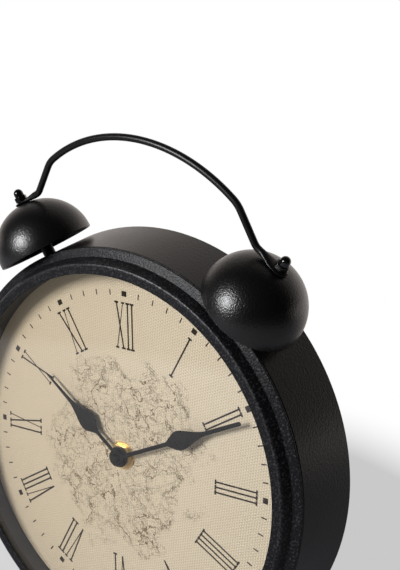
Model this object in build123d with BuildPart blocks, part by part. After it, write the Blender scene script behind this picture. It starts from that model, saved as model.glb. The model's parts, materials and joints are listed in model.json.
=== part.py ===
from build123d import *
from math import atan, cos, degrees, isclose, pi, radians, sin, sqrt, tan
import os

os.makedirs("parts", exist_ok=True)

# A round table clock: a flared sheet-metal drum that leans back on two peg feet and its rear rim,
# two dome bells with a wire carrying handle on top, a linen-faced dial behind glass, and a
# battery movement whose motion works drive the two hands.
# Millimetres, +Z up, the dial faces -Y. The origin is on the table under the middle of the clock.
# The case frame has its origin at the dial's centre: x right, y up the dial, z out of the dial.

# Stance
lean = 8.0

# Drum
mouth_radius = 101.6
drum_flare = 5.2
mouth_height = 7.2
drum_depth = 32.9
drum_wall = 1.0
rear_recess = 3.5
flange_width = 8.3
mouth_round = 0.4

# Bezel
bezel_seam = 0.5
ledge_width = 3.9
ledge_rise = 2.0
step_run = 2.3
step_rise = 4.7
lip_width = 4.7
rim_round = 0.9
shoulder_round = 0.5
bezel_sheet = 1.0
skirt_depth = 4.5
skirt_clearance = 0.1

# Glass, spacer ring and dial
glass_thickness = 2.0
glass_clearance = 0.7
spacer_wall = 1.6
card_thickness = 0.4
plate_thickness = 2.5
plate_clearance = 0.2
bracket_sheet = 1.0
bracket_reach = 6.5
bracket_leg = 8.0
bracket_arc = 6.0
bracket_count = 4

# Small screws
screw_radius = 1.45
screw_head_radius = 2.4
screw_head_height = 1.5
screw_head_round = 0.5
screw_head_clearance = 0.1
screw_length = 5.0
screw_hole_clearance = 0.15

# Back cover
cover_thickness = 1.5
cover_clearance = 1.0
cover_window_margin = 4.0
cover_window_round = 4.0
cover_screw_count = 4
cover_screw_turn = 45.0

# Bells, their posts and the cap nuts
bell_angle = 33.55
bell_station = 3.35
bell_lift = 3.5
bell_radius = 23.8
bell_height = 23.8
bell_skirt = 1.3
bell_wall = 1.0
bell_crown_radius = 4.0
post_radius = 3.0
stud_radius = 1.5
stud_clearance = 0.1
stud_end = 0.5
nut_flats = 5.5
nut_height = 2.4
nut_seat = 0.1
cap_nut_height = 6.3
cap_nut_dome_radius = 2.3
cap_nut_bore = 4.6

# Handle
wire_radius = 1.6
tab_thickness = 1.8
tab_radius = 4.0
tab_waist = 3.6
tab_neck = 10.0
tab_run = 13.5
leg_run = 18.8
leg_lean = 28.3
handle_rise = 49.95
leg_bend = 6.0
arch_bend = 14.0

# Feet
foot_angle = 33.55
foot_station = 6.0
foot_collar_radius = 6.0
foot_collar_height = 2.5
foot_neck_radius = 3.4
foot_ball_radius = 6.5
foot_flat = 0.5
foot_stud_radius = 2.0
foot_nut_flats = 7.0
foot_nut_height = 3.2

# Movement housing
movement_end_wall = 2.35
movement_front_wall = 1.2
movement_round = 3.0
gear_case_depth = 7.1
housing_wall = 1.5
boss_radius = 4.0
boss_clearance = 0.1
boss_proud = 0.2
washer_radius = 7.0
washer_thickness = 0.5
boss_nut_flats = 11.0
boss_nut_height = 1.7

# Battery and its contacts
cell_radius = 7.1
cell_length = 49.2
cell_nub_radius = 2.75
cell_nub_length = 1.3
cell_edge_round = 0.65
cell_clearance = 0.3
trough_wall = 1.05
contact_thickness = 0.4
contact_width = 9.0

# Motion works
gear_module = 0.5
cannon_teeth = 12
motion_teeth = 36
motion_pinion_teeth = 10
hour_teeth = 40
train_angle = 40.0
wheel_thickness = 1.4
wheel_gap = 0.9
wheel_room = 0.75
tooth_addendum = 0.8
tooth_dedendum = 1.15
tooth_root_share = 0.55
tooth_tip_share = 0.2
arbor_radius = 1.5
pivot_radius = 0.75
pivot_length = 1.0
running_clearance = 0.05
pipe_radius = 2.5
knob_radius = 6.5
knob_height = 4.5
knob_gap = 0.4
knob_flutes = 16
knob_flute_radius = 0.7

# Hands
dial_turn = -5.1
rest_minutes = 10.6
hand_thickness = 0.5
hand_gap = 0.5
hands_gap = 1.2
hand_clearance = 0.02
hour_hand_length = 56.0
hour_hub_radius = 5.0
hour_bar_half = 0.7
hour_leaf_start = 15.0
hour_leaf_widest = 23.4
hour_leaf_end = 38.6
hour_leaf_half = 6.0
hour_tip_half = 0.4
minute_hand_length = 76.5
minute_hub_radius = 4.2
minute_bar_half = 1.0
minute_leaf_start = 33.0
minute_leaf_widest = 41.0
minute_leaf_end = 56.0
minute_leaf_half = 4.6
minute_tip_half = 1.0
leaf_entry = (1.0, 0.6)
leaf_crest = (-0.1, 1.0)
leaf_exit = (-0.05, 1.0)
hand_nut_radius = 2.3
hand_nut_height = 2.2
hand_nut_round = 0.7
hand_stud_radius = 1.0
hand_stud_length = 1.6

# Cuts that pass right through run this far past both faces
cut_over = 2.0

# Places worked out from the sizes above
rear_radius = mouth_radius + drum_flare
bezel_edge = mouth_radius - bezel_seam
shoulder_radius = bezel_edge - ledge_width
rim_radius = shoulder_radius - step_run
lip_radius = rim_radius - lip_width
shoulder_height = mouth_height + ledge_rise
rim_height = shoulder_height + step_rise
flare = degrees(atan((rear_radius - mouth_radius) / drum_depth))
rear_edge = mouth_height - drum_depth
slope_wall = drum_wall / cos(radians(flare))
lean_cos = cos(radians(lean))
lean_sin = sin(radians(lean))
axis_height = rear_radius * lean_cos - rear_edge * lean_sin
front_reach = rim_radius * lean_sin + rim_height * lean_cos
back_reach = rear_radius * lean_sin - rear_edge * lean_cos

case = Plane(
    origin=(0, (front_reach - back_reach) / 2, axis_height),
    x_dir=(1, 0, 0),
    z_dir=(0, -lean_cos, lean_sin),
)
case_axis = Axis(case.origin, case.z_dir)


def case_point(x, y, z):
    return case.from_local_coords(Vector(x, y, z))


def case_vector(x, y, z):
    return case_point(x, y, z) - case.origin


def section_of(plane):
    # The half plane in which a turned piece is drawn: x is its radius, y runs along its axis.
    return Plane(plane.origin, x_dir=plane.x_dir, z_dir=-plane.y_dir)


def drum_radius(z):
    return mouth_radius + (mouth_height - z) * tan(radians(flare))


def wall_plane(angle, station):
    # A plane tangent to the drum at an angle clockwise from the top, with z square to the wall.
    s, c = sin(radians(angle)), cos(radians(angle))
    tilt_sin, tilt_cos = sin(radians(flare)), cos(radians(flare))
    radius = drum_radius(-station)
    return Plane(
        origin=case_point(radius * s, radius * c, -station),
        x_dir=case_vector(c, -s, 0),
        z_dir=case_vector(s * tilt_cos, c * tilt_cos, tilt_sin),
    )


def hand_plane(angle, height):
    # A plane above the dial whose y axis points at an angle clockwise from the top.
    s, c = sin(radians(angle)), cos(radians(angle))
    return Plane(case_point(0, 0, height), x_dir=case_vector(c, -s, 0), z_dir=case.z_dir)


def save(builder, label):
    builder.part.label = label
    export_step(builder.part, f"parts/{label}.step")


sides = {"left": -1, "right": 1}
case_section = section_of(case)
bell_planes = {side: wall_plane(turn * bell_angle, bell_station) for side, turn in sides.items()}
foot_planes = {side: wall_plane(180 - turn * foot_angle, foot_station) for side, turn in sides.items()}
flange_front = rear_edge + rear_recess + drum_wall
flange_inner = drum_radius(flange_front) - slope_wall - flange_width
cover_front = flange_front - drum_wall
cover_radius = drum_radius(cover_front) - slope_wall - cover_clearance
cover_screw_circle = (flange_inner + cover_radius) / 2
plate_front = -card_thickness
plate_back = plate_front - plate_thickness
skirt_radius = mouth_radius - slope_wall - skirt_clearance
glass_radius = rim_radius - bezel_sheet - glass_clearance
glass_front = rim_height - bezel_sheet
spacer_height = glass_front - glass_thickness
stud_depth = drum_wall + nut_seat + nut_height + stud_end
foot_stud_depth = drum_wall + nut_seat + foot_nut_height + stud_end
plate_radius = drum_radius(plate_back) - max(stud_depth, foot_stud_depth) - plate_clearance
plate_screw_circle = glass_radius + screw_head_radius + screw_head_clearance
screw_hole = screw_radius + screw_hole_clearance

# Drum: a flared wall with an inner flange that carries the back cover
with BuildPart() as drum_shell:
    with BuildSketch(case_section):
        with BuildLine():
            Polyline(
                (mouth_radius, mouth_height),
                (rear_radius, rear_edge),
                (rear_radius - slope_wall, rear_edge),
                (drum_radius(cover_front) - slope_wall, cover_front),
                (flange_inner, cover_front),
                (flange_inner, flange_front),
                (drum_radius(flange_front) - slope_wall, flange_front),
                (mouth_radius - slope_wall, mouth_height),
                close=True,
            )
        make_face()
    revolve(axis=case_axis)
    mouth_edges = drum_shell.edges().filter_by(GeomType.CIRCLE).sort_by(case_axis)[-2:]
    fillet(mouth_edges.sort_by(SortBy.LENGTH)[-1], mouth_round)
    for plane in bell_planes.values():
        with Locations(plane):
            Cylinder(stud_radius + stud_clearance, 2 * (drum_wall + cut_over), mode=Mode.SUBTRACT)
    for plane in foot_planes.values():
        with Locations(plane):
            Cylinder(foot_stud_radius + stud_clearance, 2 * (drum_wall + cut_over), mode=Mode.SUBTRACT)
    with BuildSketch(case.offset(cover_front - cut_over)):
        with PolarLocations(cover_screw_circle, cover_screw_count, start_angle=cover_screw_turn):
            Circle(screw_hole)
    extrude(amount=drum_wall + 2 * cut_over, mode=Mode.SUBTRACT)
save(drum_shell, "drum_shell")

# Bezel: a stepped pressed ring whose skirt plugs into the drum's mouth
with BuildPart() as bezel:
    with BuildSketch(case_section):
        with BuildLine():
            Polyline(
                (lip_radius, rim_height),
                (rim_radius, rim_height),
                (shoulder_radius, shoulder_height),
                (bezel_edge, mouth_height + bezel_sheet),
                (bezel_edge, mouth_height),
                (skirt_radius, mouth_height),
                (skirt_radius, mouth_height - skirt_depth),
                (skirt_radius - bezel_sheet, mouth_height - skirt_depth),
                (skirt_radius - bezel_sheet, mouth_height),
                (shoulder_radius - bezel_sheet, shoulder_height - bezel_sheet),
                (rim_radius - bezel_sheet, glass_front),
                (lip_radius, glass_front),
                close=True,
            )
        make_face()
    revolve(axis=case_axis)
    for radius, edge_round in ((rim_radius, rim_round), (shoulder_radius, shoulder_round)):
        rings = bezel.edges().filter_by(GeomType.CIRCLE)
        fillet([ring for ring in rings if isclose(ring.radius, radius)], edge_round)
save(bezel, "bezel")

# Flat glass under the bezel's lip
with BuildPart() as lens:
    with BuildSketch(case.offset(spacer_height)):
        Circle(glass_radius)
    extrude(amount=glass_thickness)
save(lens, "lens")

# Spacer ring between the dial and the glass
with BuildPart() as spacer_ring:
    with BuildSketch(case):
        Circle(glass_radius)
        Circle(glass_radius - spacer_wall, mode=Mode.SUBTRACT)
    extrude(amount=spacer_height)
save(spacer_ring, "spacer_ring")

# Linen-faced dial card on its backing plate
with BuildPart() as dial_card:
    with BuildSketch(case):
        Circle(glass_radius)
        Circle(boss_radius + boss_clearance, mode=Mode.SUBTRACT)
    extrude(amount=-card_thickness)
save(dial_card, "dial_card")

with BuildPart() as dial_plate:
    with BuildSketch(case.offset(plate_front)):
        Circle(plate_radius)
        Circle(boss_radius + boss_clearance, mode=Mode.SUBTRACT)
        with PolarLocations(plate_screw_circle, bracket_count):
            Circle(screw_hole, mode=Mode.SUBTRACT)
    extrude(amount=-plate_thickness)
save(dial_plate, "dial_plate")

# Brackets welded inside the drum, and the screws that hold the dial plate to them
with BuildPart() as dial_brackets:
    for index in range(bracket_count):
        with BuildSketch(section_of(hand_plane(index * 360 / bracket_count + bracket_arc / 2, 0))):
            with BuildLine():
                foot_of_leg = plate_back - bracket_leg
                Polyline(
                    (plate_screw_circle - bracket_reach, plate_back),
                    (drum_radius(plate_back) - slope_wall, plate_back),
                    (drum_radius(foot_of_leg) - slope_wall, foot_of_leg),
                    (drum_radius(foot_of_leg) - slope_wall - bracket_sheet, foot_of_leg),
                    (drum_radius(plate_back) - slope_wall - bracket_sheet, plate_back - bracket_sheet),
                    (plate_screw_circle - bracket_reach, plate_back - bracket_sheet),
                    close=True,
                )
            make_face()
        revolve(axis=case_axis, revolution_arc=bracket_arc)
    with BuildSketch(case.offset(plate_back - bracket_sheet - cut_over)):
        with PolarLocations(plate_screw_circle, bracket_count):
            Circle(screw_hole)
    extrude(amount=bracket_sheet + 2 * cut_over, mode=Mode.SUBTRACT)
save(dial_brackets, "dial_brackets")


def add_screws(seat, circle, count, start_angle):
    # Pan-head screws round a circle, with their heads on the seat plane's outer side.
    with BuildSketch(seat) as heads:
        with PolarLocations(circle, count, start_angle=start_angle):
            Circle(screw_head_radius)
    extrude(heads.sketch, amount=screw_head_height)
    fillet(edges().group_by(Axis(seat.origin, seat.z_dir))[-1], screw_head_round)
    with BuildSketch(seat) as shanks:
        with PolarLocations(circle, count, start_angle=start_angle):
            Circle(screw_radius)
    extrude(shanks.sketch, amount=-screw_length)


with BuildPart() as dial_screws:
    add_screws(case.offset(plate_front), plate_screw_circle, bracket_count, 0)
save(dial_screws, "dial_screws")

# The movement's outer sizes follow the battery that it holds
trough_radius = cell_radius + cell_clearance
trough_half = cell_length / 2 + cell_nub_length / 2 + contact_thickness
movement_size = 2 * (trough_half + movement_end_wall)
movement_depth = 2 * trough_radius + movement_front_wall

# Back cover with a window for the battery and the setting knob
cover_back = Plane(case.offset(cover_front - cover_thickness).origin, case.x_dir, -case.z_dir)
cover_window = movement_size + 2 * cover_window_margin
with BuildPart() as back_cover:
    with BuildSketch(cover_back):
        Circle(cover_radius)
        RectangleRounded(cover_window, cover_window, cover_window_round, mode=Mode.SUBTRACT)
        with PolarLocations(cover_screw_circle, cover_screw_count, start_angle=cover_screw_turn):
            Circle(screw_hole, mode=Mode.SUBTRACT)
    extrude(amount=-cover_thickness)
save(back_cover, "back_cover")

with BuildPart() as back_cover_screws:
    add_screws(cover_back, cover_screw_circle, cover_screw_count, cover_screw_turn)
save(back_cover_screws, "back_cover_screws")

# Bells: thin domes held at the crown on shouldered posts
dome_width = bell_radius - bell_crown_radius
dome_height = bell_height - bell_skirt
dome_arc = (dome_width ** 2 + dome_height ** 2) / (2 * dome_width)
for side, plane in bell_planes.items():
    rim_plane = plane.offset(bell_lift)
    with BuildPart() as bell:
        with BuildSketch(section_of(rim_plane)):
            with BuildLine():
                crown = Line((stud_radius + stud_clearance, bell_height), (bell_crown_radius, bell_height))
                dome = RadiusArc(crown @ 1, (bell_radius, bell_skirt), dome_arc)
                inner_rim = (bell_radius - bell_wall, bell_skirt)
                inner_crown = (bell_crown_radius, bell_height - bell_wall)
                Polyline(dome @ 1, (bell_radius, 0), (bell_radius - bell_wall, 0), inner_rim)
                RadiusArc(inner_rim, inner_crown, bell_wall - dome_arc)
                Polyline(inner_crown, (stud_radius + stud_clearance, bell_height - bell_wall), crown @ 0)
            make_face()
        revolve(axis=Axis(plane.origin, plane.z_dir))
    save(bell, f"bell_{side}")

    shoulder = bell_lift + bell_height - bell_wall
    stud_top = bell_lift + bell_height + tab_thickness + cap_nut_bore
    with BuildPart() as bell_post:
        with BuildSketch(plane):
            Circle(post_radius)
        extrude(amount=shoulder)
        with BuildSketch(plane.offset(-stud_depth)):
            Circle(stud_radius)
        extrude(amount=stud_depth + stud_top)
    save(bell_post, f"bell_post_{side}")

# Nuts inside the drum on the bell posts
with BuildPart() as bell_post_nuts:
    for plane in bell_planes.values():
        with BuildSketch(plane.offset(-drum_wall - nut_seat)):
            RegularPolygon(nut_flats / 2, 6, major_radius=False)
            Circle(stud_radius, mode=Mode.SUBTRACT)
        extrude(amount=-nut_height)
save(bell_post_nuts, "bell_post_nuts")

# Domed cap nuts over the handle's tabs
cap_seat = bell_lift + bell_height + tab_thickness
with BuildPart() as cap_nuts:
    for plane in bell_planes.values():
        with BuildSketch(plane.offset(cap_seat)):
            RegularPolygon(nut_flats / 2, 6, major_radius=False)
        extrude(amount=nut_height)
        with BuildSketch(section_of(plane.offset(cap_seat))):
            with BuildLine():
                wall_top = cap_nut_height - cap_nut_dome_radius
                side_line = Polyline((0, nut_height), (cap_nut_dome_radius, nut_height),
                                     (cap_nut_dome_radius, wall_top))
                top = RadiusArc(side_line @ 1, (0, cap_nut_height), -cap_nut_dome_radius)
                Line(top @ 1, side_line @ 0)
            make_face()
        revolve(axis=Axis(plane.origin, plane.z_dir))
        with BuildSketch(plane.offset(cap_seat)):
            Circle(stud_radius)
        extrude(amount=cap_nut_bore, mode=Mode.SUBTRACT)
save(cap_nuts, "cap_nuts")

# Handle: one bent wire in the plane of the two bell posts, its ends flattened into tabs
station_radius = drum_radius(-bell_station)
post_root = station_radius / cos(radians(flare))
handle_lean = atan(tan(radians(flare)) / cos(radians(bell_angle)))
handle_plane = Plane(
    origin=case_point(0, 0, -bell_station - station_radius * tan(radians(flare))),
    x_dir=case.x_dir,
    z_dir=case_vector(0, -sin(handle_lean), cos(handle_lean)),
)
post_slant = atan(tan(radians(bell_angle)) * cos(handle_lean))
seat_distance = post_root + cap_seat - tab_thickness / 2
seat = Vector(seat_distance * sin(post_slant), seat_distance * cos(post_slant))
inward = Vector(-cos(post_slant), sin(post_slant))
leg_way = Vector(-sin(radians(leg_lean)), cos(radians(leg_lean)))
neck = seat + inward * tab_neck
elbow = seat + inward * tab_run
knee = elbow + leg_way * leg_run


def mirrored(point):
    return Vector(-point.X, point.Y)


with BuildLine() as wire:
    Polyline(neck, elbow, knee)
    ThreePointArc(knee, (0, post_root + handle_rise), mirrored(knee))
    Polyline(mirrored(knee), mirrored(elbow), mirrored(neck))
    fillet(wire.vertices().group_by(Axis.Y)[-1], arch_bend)
    fillet(wire.vertices().group_by(Axis.Y)[1], leg_bend)
wire_path = handle_plane.from_local_coords(wire.wires()[0])

with BuildPart() as handle:
    with BuildSketch(wire_path ^ 0):
        Circle(wire_radius)
    sweep(path=wire_path)
    for side, plane in bell_planes.items():
        towards = -sides[side]
        tab_plane = plane.offset(cap_seat - tab_thickness)
        middle = plane.offset(cap_seat - tab_thickness / 2)
        along = middle.x_dir * towards
        with BuildSketch(tab_plane):
            Circle(tab_radius)
            with Locations((towards * tab_radius / 2, 0)):
                Rectangle(tab_radius, 2 * tab_waist)
        extrude(amount=tab_thickness)
        with BuildSketch(Plane(middle.origin + along * tab_radius, x_dir=middle.y_dir, z_dir=along)):
            Ellipse(tab_waist, tab_thickness / 2)
        with BuildSketch(Plane(middle.origin + along * tab_neck, x_dir=middle.y_dir, z_dir=along)):
            Circle(wire_radius)
        loft()
        with BuildSketch(tab_plane.offset(-cut_over)):
            Circle(stud_radius + stud_clearance)
        extrude(amount=tab_thickness + 2 * cut_over, mode=Mode.SUBTRACT)
save(handle, "handle")

# Feet: turned pegs with ball ends ground flat where they stand on the table
ball_rise = axis_height - foot_ball_radius + foot_flat
base_drop = drum_radius(-foot_station) * cos(radians(foot_angle)) * lean_cos + foot_station * lean_sin
foot_drop = cos(radians(flare)) * cos(radians(foot_angle)) * lean_cos - sin(radians(flare)) * lean_sin
foot_length = (ball_rise - base_drop) / foot_drop
neck_end = foot_length - sqrt(foot_ball_radius ** 2 - foot_neck_radius ** 2)
for side, plane in foot_planes.items():
    with BuildPart() as foot:
        with BuildSketch(section_of(plane)):
            with BuildLine():
                shank = Polyline(
                    (0, -foot_stud_depth),
                    (foot_stud_radius, -foot_stud_depth),
                    (foot_stud_radius, 0),
                    (foot_collar_radius, 0),
                    (foot_collar_radius, foot_collar_height),
                    (foot_neck_radius, neck_end),
                )
                ball = ThreePointArc(
                    shank @ 1,
                    (foot_ball_radius, foot_length),
                    (0, foot_length + foot_ball_radius),
                )
                Line(ball @ 1, shank @ 0)
            make_face()
        revolve(axis=Axis(plane.origin, plane.z_dir))
        split(bisect_by=Plane.XY, keep=Keep.TOP)
    save(foot, f"foot_{side}")

with BuildPart() as foot_nuts:
    for plane in foot_planes.values():
        with BuildSketch(plane.offset(-drum_wall - nut_seat)):
            RegularPolygon(foot_nut_flats / 2, 6, major_radius=False)
            Circle(foot_stud_radius, mode=Mode.SUBTRACT)
        extrude(amount=-foot_nut_height)
save(foot_nuts, "foot_nuts")

# Motion works: the minute arbor drives the motion wheel, whose pinion drives the hour wheel
centre_distance = gear_module * (cannon_teeth + motion_teeth) / 2
hour_module = 2 * centre_distance / (motion_pinion_teeth + hour_teeth)
train = Vector(cos(radians(train_angle)), sin(radians(train_angle)))
motion_at = train * centre_distance
setting_at = train * (2 * centre_distance)
housing_front = plate_back
gear_floor = housing_front - housing_wall
gear_roof = housing_front - gear_case_depth
housing_back = housing_front - movement_depth
hour_level = gear_floor - wheel_gap / 2
motion_level = hour_level - wheel_thickness - wheel_gap
boss_top = washer_thickness + boss_nut_height + boss_proud
hour_hand_height = boss_top + hand_gap
minute_hand_height = hour_hand_height + hand_thickness + hands_gap


def add_gear(plane, teeth, module, first_tooth, thickness):
    # A spur wheel whose front face lies on the plane, with straight-flanked teeth.
    pitch = module * pi
    root_radius = module * (teeth / 2 - tooth_dedendum)
    tooth_height = module * (tooth_addendum + tooth_dedendum)
    root_width = pitch * tooth_root_share
    tip_width = pitch * tooth_tip_share
    sunk = root_radius - sqrt(root_radius ** 2 - root_width ** 2 / 4)
    flank = degrees(atan(2 * tooth_height / (root_width - tip_width)))
    with BuildSketch(plane) as outline:
        Circle(root_radius)
        with PolarLocations(root_radius - sunk, teeth, start_angle=first_tooth):
            Trapezoid(root_width, tooth_height + sunk, flank, rotation=-90, align=(Align.CENTER, Align.MIN))
    extrude(outline.sketch, amount=-thickness)


def add_rod(point, radius, front, back):
    # A round rod along the dial's axis direction, from its front end to its back end.
    with BuildSketch(case.offset(front)) as end:
        with Locations(point):
            Circle(radius)
    extrude(end.sketch, amount=back - front)


def gear_plane(point, level):
    return Plane(case_point(point.X, point.Y, level), x_dir=case.x_dir, z_dir=case.z_dir)


hub = Vector(0, 0)
hand_seat = minute_hand_height + hand_thickness
with BuildPart() as minute_arbor:
    add_gear(gear_plane(hub, motion_level), cannon_teeth, gear_module, train_angle, wheel_thickness)
    add_rod(hub, arbor_radius, minute_hand_height, motion_level)
    add_rod(hub, hand_stud_radius, hand_seat + hand_stud_length, minute_hand_height)
    add_rod(hub, pivot_radius, motion_level, gear_roof - pivot_length)
save(minute_arbor, "minute_arbor")

with BuildPart() as hour_wheel:
    add_gear(gear_plane(hub, hour_level), hour_teeth, hour_module, train_angle, wheel_thickness)
    add_rod(hub, pipe_radius, hour_hand_height + hand_thickness, hour_level)
    with BuildSketch(case.offset(hour_hand_height + hand_thickness + cut_over)):
        Circle(arbor_radius + running_clearance)
    pipe_length = hour_hand_height + hand_thickness - hour_level + wheel_thickness
    extrude(amount=-pipe_length - 2 * cut_over, mode=Mode.SUBTRACT)
save(hour_wheel, "hour_wheel")

motion_gap = train_angle + 180 + 180 / motion_teeth
pinion_gap = train_angle + 180 + 180 / motion_pinion_teeth
with BuildPart() as motion_wheel:
    add_gear(gear_plane(motion_at, motion_level), motion_teeth, gear_module, motion_gap, wheel_thickness)
    add_gear(gear_plane(motion_at, hour_level), motion_pinion_teeth, hour_module, pinion_gap,
             hour_level - motion_level)
    add_rod(motion_at, pivot_radius, gear_floor + pivot_length, gear_roof - pivot_length)
save(motion_wheel, "motion_wheel")

knob_front = housing_back - knob_gap
with BuildPart() as setting_knob:
    add_gear(gear_plane(setting_at, motion_level), cannon_teeth, gear_module, train_angle + 180,
             wheel_thickness)
    add_rod(setting_at, pivot_radius, gear_floor + pivot_length, motion_level)
    add_rod(setting_at, arbor_radius, motion_level, knob_front)
    with BuildSketch(gear_plane(setting_at, knob_front)):
        Circle(knob_radius)
        with PolarLocations(knob_radius, knob_flutes):
            Circle(knob_flute_radius, mode=Mode.SUBTRACT)
    extrude(amount=-knob_height)
save(setting_knob, "setting_knob")

# Movement housing: a gear tray with a threaded boss, and a back with the battery trough
hour_tip_radius = hour_module * (hour_teeth / 2 + tooth_addendum)
gear_pocket_low = -hour_tip_radius - wheel_room
gear_pocket_high = movement_size / 2 - housing_wall
cell_offset = trough_radius + trough_wall - gear_pocket_low
trough_axis = housing_back + trough_radius
trough_plane = Plane(case_point(-trough_half, -cell_offset, trough_axis), x_dir=case.y_dir, z_dir=case.x_dir)


def cut_trough():
    # The battery's trough: a half-round channel that opens at the back of the housing.
    with BuildSketch(trough_plane) as channel:
        Circle(trough_radius)
        with Locations((0, -trough_radius)):
            Rectangle(2 * trough_radius, 2 * trough_radius)
    extrude(channel.sketch, amount=2 * trough_half, mode=Mode.SUBTRACT)


with BuildPart() as movement_front:
    with BuildSketch(case.offset(housing_front)):
        RectangleRounded(movement_size, movement_size, movement_round)
    extrude(amount=-gear_case_depth)
    with BuildSketch(case.offset(gear_floor)):
        with Locations((0, (gear_pocket_low + gear_pocket_high) / 2)):
            Rectangle(movement_size - 2 * housing_wall, gear_pocket_high - gear_pocket_low)
    extrude(amount=-gear_case_depth, mode=Mode.SUBTRACT)
    add_rod(hub, boss_radius, boss_top, gear_floor)
    with BuildSketch(case.offset(boss_top + cut_over)):
        Circle(pipe_radius + running_clearance)
    extrude(amount=gear_floor - boss_top - 2 * cut_over, mode=Mode.SUBTRACT)
    for point in (motion_at, setting_at):
        with BuildSketch(gear_plane(point, gear_floor)):
            Circle(pivot_radius + running_clearance)
        extrude(amount=pivot_length + running_clearance, mode=Mode.SUBTRACT)
    cut_trough()
save(movement_front, "movement_front")

with BuildPart() as movement_back:
    with BuildSketch(case.offset(gear_roof)):
        RectangleRounded(movement_size, movement_size, movement_round)
    extrude(amount=housing_back - gear_roof)
    for point in (hub, motion_at):
        with BuildSketch(gear_plane(point, gear_roof)):
            Circle(pivot_radius + running_clearance)
        extrude(amount=-pivot_length - running_clearance, mode=Mode.SUBTRACT)
    with BuildSketch(gear_plane(setting_at, gear_roof)):
        Circle(arbor_radius + running_clearance)
    extrude(amount=-movement_depth, mode=Mode.SUBTRACT)
    cut_trough()
save(movement_back, "movement_back")

with BuildPart() as movement_washer:
    with BuildSketch(case):
        Circle(washer_radius)
        Circle(boss_radius + boss_clearance, mode=Mode.SUBTRACT)
    extrude(amount=washer_thickness)
save(movement_washer, "movement_washer")

with BuildPart() as movement_nut:
    with BuildSketch(case.offset(washer_thickness)):
        RegularPolygon(boss_nut_flats / 2, 6, major_radius=False)
        Circle(boss_radius, mode=Mode.SUBTRACT)
    extrude(amount=boss_nut_height)
save(movement_nut, "movement_nut")

# Battery and the two spring plates at the trough's ends
with BuildPart() as battery:
    with BuildSketch(trough_plane.offset(contact_thickness)):
        Circle(cell_radius)
    extrude(amount=cell_length)
    fillet(battery.edges().filter_by(GeomType.CIRCLE), cell_edge_round)
    with BuildSketch(trough_plane.offset(contact_thickness + cell_length)):
        Circle(cell_nub_radius)
    extrude(amount=cell_nub_length)
save(battery, "battery")

with BuildPart() as battery_contacts:
    for start in (0, 2 * trough_half - contact_thickness):
        with BuildSketch(trough_plane.offset(start)):
            Rectangle(contact_width, contact_width)
        extrude(amount=contact_thickness)
save(battery_contacts, "battery_contacts")

# Hands: slender bars with a leaf, pressed on the hour pipe and the minute arbor
minute_angle = dial_turn + rest_minutes * 6
hour_angle = dial_turn + 300 + rest_minutes / 2


def add_hand(plane, hub_radius, bore, length, bar_half, leaf_start, leaf_widest, leaf_end, leaf_half,
             tip_half):
    # A flat hand along the plane's y axis: hub, bar, leaf and round tip.
    with BuildSketch(plane) as outline:
        Circle(hub_radius)
        with BuildLine():
            leaf = Spline(
                (bar_half, leaf_start),
                (leaf_half, leaf_widest),
                (bar_half, leaf_end),
                tangents=(leaf_entry, leaf_crest, leaf_exit),
            )
            Polyline((0, 0), (bar_half, 0), leaf @ 0)
            bar = Line(leaf @ 1, (tip_half, length - tip_half))
            tip = RadiusArc(bar @ 1, (0, length), -tip_half)
            Line(tip @ 1, (0, 0))
        half = make_face()
        mirror(half, about=Plane.YZ)
        Circle(bore, mode=Mode.SUBTRACT)
    extrude(outline.sketch, amount=hand_thickness)


with BuildPart() as hour_hand:
    add_hand(hand_plane(hour_angle, hour_hand_height), hour_hub_radius, pipe_radius + hand_clearance,
             hour_hand_length, hour_bar_half, hour_leaf_start, hour_leaf_widest, hour_leaf_end,
             hour_leaf_half, hour_tip_half)
save(hour_hand, "hour_hand")

with BuildPart() as minute_hand:
    add_hand(hand_plane(minute_angle, minute_hand_height), minute_hub_radius,
             hand_stud_radius + hand_clearance, minute_hand_length, minute_bar_half, minute_leaf_start,
             minute_leaf_widest, minute_leaf_end, minute_leaf_half, minute_tip_half)
save(minute_hand, "minute_hand")

# Closed nut that holds the minute hand
with BuildPart() as hand_nut:
    with BuildSketch(case.offset(hand_seat)):
        Circle(hand_nut_radius)
    extrude(amount=hand_nut_height)
    fillet(hand_nut.edges().sort_by(case_axis)[-1], hand_nut_round)
    with BuildSketch(case.offset(hand_seat)):
        Circle(hand_stud_radius + hand_clearance)
    extrude(amount=hand_stud_length, mode=Mode.SUBTRACT)
save(hand_nut, "hand_nut")
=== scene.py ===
"""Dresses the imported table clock: turned and formed metal, printed linen dial, glass, finishes and stage."""

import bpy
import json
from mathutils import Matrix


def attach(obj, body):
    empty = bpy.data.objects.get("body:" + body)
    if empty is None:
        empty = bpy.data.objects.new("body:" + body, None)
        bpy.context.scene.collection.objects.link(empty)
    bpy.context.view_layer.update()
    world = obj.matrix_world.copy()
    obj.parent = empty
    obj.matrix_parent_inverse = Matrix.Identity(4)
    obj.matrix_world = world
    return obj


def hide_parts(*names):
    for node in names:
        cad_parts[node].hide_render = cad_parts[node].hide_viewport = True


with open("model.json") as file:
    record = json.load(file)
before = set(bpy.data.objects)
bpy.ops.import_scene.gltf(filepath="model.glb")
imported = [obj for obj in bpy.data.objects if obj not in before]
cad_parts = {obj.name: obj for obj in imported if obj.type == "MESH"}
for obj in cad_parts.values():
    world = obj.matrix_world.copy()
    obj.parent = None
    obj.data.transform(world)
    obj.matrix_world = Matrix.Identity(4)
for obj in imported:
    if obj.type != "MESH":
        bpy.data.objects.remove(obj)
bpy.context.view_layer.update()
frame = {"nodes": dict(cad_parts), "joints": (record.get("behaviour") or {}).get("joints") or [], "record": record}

import json
from math import acos, asin, atan, atan2, ceil, cos, pi, radians, sin, sqrt, tan

import bpy
from bpy.props import FloatProperty, FloatVectorProperty, PointerProperty
from mathutils import Matrix, Vector
from mathutils.geometry import interpolate_bezier

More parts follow.
